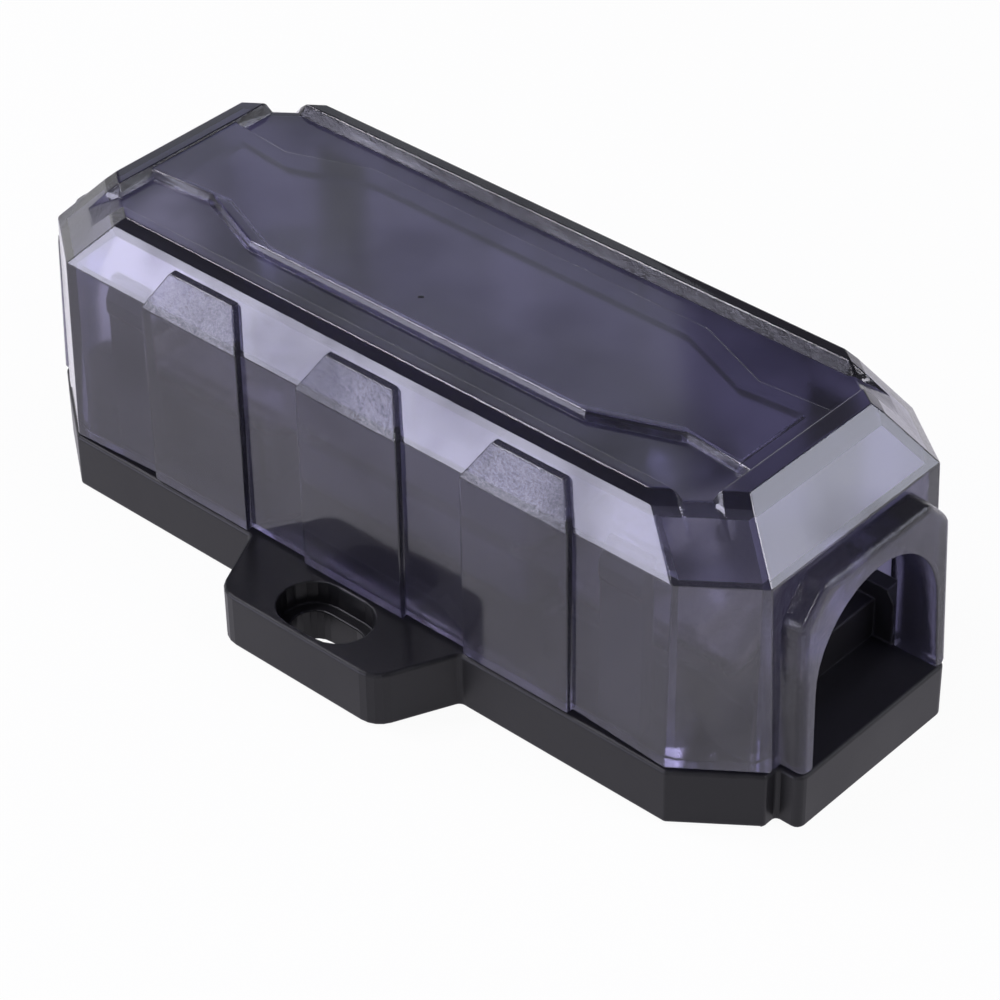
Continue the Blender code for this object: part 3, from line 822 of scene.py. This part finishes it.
@dataclass
class GateMark:
    """The small scar that the mould's gate left on the raised panel."""

    place: tuple[float, float] = (-2.75 * MM, -6.07 * MM)
    panel_z: float = 39.55 * MM
    half_length: float = 0.42 * MM
    half_width: float = 0.20 * MM
    height: float = 0.10 * MM
    turn: float = math.radians(42)
    around: int = 16
    # Width and height of each ring, as shares of the foot's width and the whole height.
    rings: tuple[tuple[float, float], ...] = ((1.0, -0.5), (0.95, 0.5), (0.7, 0.9), (0.35, 1.0))

    def ring(self, work: bmesh.types.BMesh, share: float, rise: float) -> list[bmesh.types.BMVert]:
        """Adds one ring of points.

        Args:
            work: The mesh to fill.
            share: Width as a share of the foot's.
            rise: Height as a share of the whole.

        Returns:
            The points in order.
        """
        points = []
        for step in range(self.around):
            angle = math.tau * step / self.around
            point = Vector((math.cos(angle) * self.half_length, math.sin(angle) * self.half_width, 0)) * share
            point.rotate(Euler((0, 0, self.turn)))
            points.append(work.verts.new((point.x, point.y, rise * self.height)))
        return points

    def build(self, material: bpy.types.Material) -> None:
        """Makes the scar as a low rounded pip, its foot sunk in the panel.

        Args:
            material: The scar's finish.
        """
        work = bmesh.new()
        loops = [self.ring(work, share, rise) for share, rise in self.rings]
        for lower, upper in zip(loops, loops[1:]):
            for step in range(self.around):
                after = (step + 1) % self.around
                work.faces.new((lower[step], lower[after], upper[after], upper[step]))
        work.faces.new(loops[-1])
        work.faces.new(loops[0][::-1])
        bmesh.ops.translate(work, verts=work.verts, vec=(*self.place, self.panel_z))
        for face in work.faces:
            face.smooth = True
        mark = new_piece("gate_mark", work, material)
        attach(mark, Body.COVER.value)
        LOG.info("built gate_mark")


@dataclass
class BaseMoulding:
    """The black base with its ears, decks, lips and arms."""

    edge: Softening = Softening(0.16 * MM, 2)

    def build(self, frame: dict, material: bpy.types.Material) -> None:
        """Dresses and softens the base.

        Args:
            material: The base's finish.
        """
        node = frame["nodes"]["base_housing"]
        dress(node, material)
        self.edge.apply(node)


@dataclass
class Terminals:
    """Stud, contact plate, washers and nut at each end."""

    edge: Softening = Softening(0.12 * MM, 2, 25.0)

    def build(self, frame: dict, steel: bpy.types.Material, plated: bpy.types.Material) -> None:
        """Dresses both terminals.

        Args:
            steel: Finish of the studs, washers and nuts.
            plated: Finish of the contact plates.
        """
        for side in ("left", "right"):
            for piece in ("stud", "flat_washer", "lock_washer", "hex_nut"):
                dress(frame["nodes"][f"{piece}_{side}"], steel)
            plate = frame["nodes"][f"contact_plate_{side}"]
            dress(plate, plated)
            self.edge.apply(plate)


@dataclass
class StripFuse:
    """The bolted fuse: strip, body halves and window."""

    edge: Softening = Softening(0.3 * MM, 2, 25.0)

    def build(
        self, frame: dict, tin: bpy.types.Material, body: bpy.types.Material, pane: bpy.types.Material
    ) -> None:
        """Dresses the fuse.

        Args:
            tin: Finish of the strip.
            body: Finish of the body halves.
            pane: Finish of the window.
        """
        dress(frame["nodes"]["fuse_strip"], tin)
        for half in ("fuse_body_lower", "fuse_body_upper"):
            dress(frame["nodes"][half], body)
            self.edge.apply(frame["nodes"][half])
        dress(frame["nodes"]["fuse_window"], pane)


@dataclass(frozen=True)
class Lamp:
    """One soft area lamp aimed at the object."""

    name: str
    at: Point
    size: tuple[float, float]
    power: float
    colour: Colour = (0.92, 0.90, 1.0)

    def build(self, target: Vector) -> None:
        """Hangs the lamp.

        Args:
            target: The point that it faces.
        """
        data = bpy.data.lights.new(self.name, "AREA")
        data.shape = "RECTANGLE"
        data.size, data.size_y = self.size
        data.energy = self.power
        data.color = self.colour
        lamp = bpy.data.objects.new(self.name, data)
        bpy.context.scene.collection.objects.link(lamp)
        lamp.location = self.at
        lamp.rotation_euler = (target - lamp.location).to_track_quat("-Z", "Y").to_euler()
        LOG.info("hung %s", self.name)


@dataclass
class Studio:
    """Camera, floor, surroundings and lamps."""

    # Fitted to the photo's edges, the turn in degrees.
    camera_at: Point = (0.22313307, -0.24015101, 0.25869414)
    camera_turn: Point = (52.63812, 0.70701, 41.92558)
    lens: float = 124.39
    sensor: float = 36.0
    clip: tuple[float, float] = (0.01, 10.0)
    target: Point = (0.0, 0.0, 0.02)
    floor_half: float = 3.0
    floor_drop: float = 0.2 * MM
    floor_grey: Colour = (0.9, 0.9, 0.9)
    floor_white: float = 0.95
    floor_gloss: float = 0.78
    # Painted shade: seen through the cover, the floor glows in this darker grey.
    floor_painted_shade: Colour = (0.50, 0.50, 0.55)
    # Painted reflection: in reflections the floor glows in this lavender tint, at floor_gloss of its
    # strength.
    floor_painted_reflection: Colour = (0.94, 0.91, 1.0)
    horizon: tuple[float, float] = (0.10, 0.42)
    upper: Colour = (0.05, 0.05, 0.055)
    lamps: tuple[Lamp, ...] = (
        Lamp("overhead_softbox", (-0.36, -0.16, 0.54), (0.20, 0.26), 1.7),
        Lamp("edge_lamp", (-0.34, -0.36, 0.46), (0.09, 0.09), 0.6),
        Lamp("front_softbox", (-0.43, -0.66, 0.15), (0.55, 0.24), 2.0, (0.78, 0.77, 1.0)),
        Lamp("rear_softbox", (-0.47, 0.46, 0.45), (0.20, 0.22), 0.065, (0.88, 0.92, 1.0)),
        Lamp("side_fill", (0.62, 0.16, 0.62), (0.30, 0.30), 2.2),
        Lamp("glint_lamp", (0.20, -0.46, 0.42), (0.10, 0.10), 0.6),
        Lamp("end_softbox", (0.55, 0.50, 0.36), (0.30, 0.26), 0.85, (0.84, 0.86, 1.0)),
    )

    def camera(self) -> None:
        """Sets the camera at the photo's viewing angle."""
        data = bpy.data.cameras.new("camera")
        data.lens = self.lens
        data.sensor_width = self.sensor
        data.clip_start, data.clip_end = self.clip
        camera = bpy.data.objects.new("camera", data)
        bpy.context.scene.collection.objects.link(camera)
        camera.location = self.camera_at
        camera.rotation_euler = [math.radians(turn) for turn in self.camera_turn]
        bpy.context.scene.camera = camera

    def floor(self) -> None:
        """Lays the pale floor, which shows white and still takes the object's shadow; through the cover it
        shows a painted shade, and in reflections a painted lavender tint.
        """
        work = bmesh.new()
        corners = ((-1, -1), (1, -1), (1, 1), (-1, 1))
        work.faces.new([work.verts.new((x * self.floor_half, y * self.floor_half, 0)) for x, y in corners])
        material, graph, shader = principled("floor_white", self.floor_grey, 0.9, 0.0)
        shader.inputs["Specular IOR Level"].default_value = 0.0
        path = graph.add("LightPath")
        glossy = path.outputs["Is Glossy Ray"]
        through = path.outputs["Is Transmission Ray"]
        product = graph.add("Mix", data_type="RGBA", blend_type="MULTIPLY")
        product.inputs["Factor"].default_value = 1.0
        # The glow takes a painted lavender tint in reflections and a painted shade through the cover.
        graph.link(mix_colour(graph, glossy, WHITE, self.floor_painted_reflection), product.inputs[FIRST])
        graph.link(mix_colour(graph, through, WHITE, self.floor_painted_shade), product.inputs[SECOND])
        glow = graph.add("Emission")
        graph.link(product.outputs[MIXED], glow.inputs["Color"])
        mirrored = graph.math("MULTIPLY", glossy, self.floor_gloss)
        seen = graph.math("MAXIMUM", path.outputs["Is Camera Ray"], mirrored)
        seen = graph.math("MAXIMUM", seen, through)
        mix_shaders(material, graph, graph.math("MULTIPLY", seen, self.floor_white), shader, glow)
        floor = new_piece("floor", work, material)
        floor.location.z = -self.floor_drop

    def surroundings(self) -> None:
        """Fills the world: pale at the horizon, dimmer above it."""
        world = bpy.data.worlds.new("studio")
        world.use_nodes = True
        bpy.context.scene.world = world
        graph = Graph(world.node_tree)
        place = graph.add("TexCoord")
        split = graph.add("SeparateXYZ")
        graph.link(place.outputs["Generated"], split.inputs[0])
        dim = graph.ramp(split.outputs["Z"], *self.horizon)
        colour = mix_colour(graph, dim, WHITE, self.upper)
        graph.link(colour, world.node_tree.nodes["Background"].inputs["Color"])

    def build(self) -> None:
        """Sets up the whole studio."""
        scene = bpy.context.scene
        scene.view_settings.view_transform = "Standard"
        self.camera()
        self.floor()
        self.surroundings()
        for lamp in self.lamps:
            lamp.build(Vector(self.target))


BLACK = MouldedPlastic("black_nylon", (0.0100, 0.0098, 0.0115), (0.055, 0.054, 0.062), 0.36, gloss=0.28)
FUSE_BODY = MouldedPlastic("fuse_plastic", (0.12, 0.12, 0.14), (0.09, 0.09, 0.10), 0.45)
SMOKE = SeeThrough(
    "smoked_plastic", (0.74, 0.72, 0.88), (0.30, 0.29, 0.42), 390.0, (0.93, 0.93, 0.97), 0.975, 0.12
)
SCAR = MouldedPlastic("gate_scar", (0.012, 0.011, 0.016), (0.03, 0.03, 0.04), 0.5)
PANE = SeeThrough("clear_pane", (0.95, 0.96, 0.97), (0.95, 0.96, 0.97), 60.0, (0.95, 0.96, 0.97), cloud=0.0)
STEEL = PlatedMetal("zinc_plate", (0.56, 0.57, 0.58), (0.42, 0.43, 0.45), 0.30)
NICKEL = PlatedMetal("nickel_plate", (0.60, 0.58, 0.54), (0.44, 0.42, 0.38), 0.32)
TIN = PlatedMetal("tin_plate", (0.66, 0.65, 0.62), (0.52, 0.50, 0.47), 0.34)


def main() -> None:
    """Builds the pieces in order."""
    logging.basicConfig(level=logging.INFO, format="%(name)s: %(message)s")
    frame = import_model()
    effects = Effects()
    Studio().build()
    BaseMoulding().build(frame, BLACK.build(effects))
    Terminals().build(frame, STEEL.build(effects), NICKEL.build(effects))
    StripFuse().build(frame, TIN.build(effects), FUSE_BODY.build(effects), PANE.build(effects))
    CoverShell().build(frame, SMOKE.build(effects))
    GateMark().build(SCAR.build(effects))


if __name__ == "__main__":
    main()
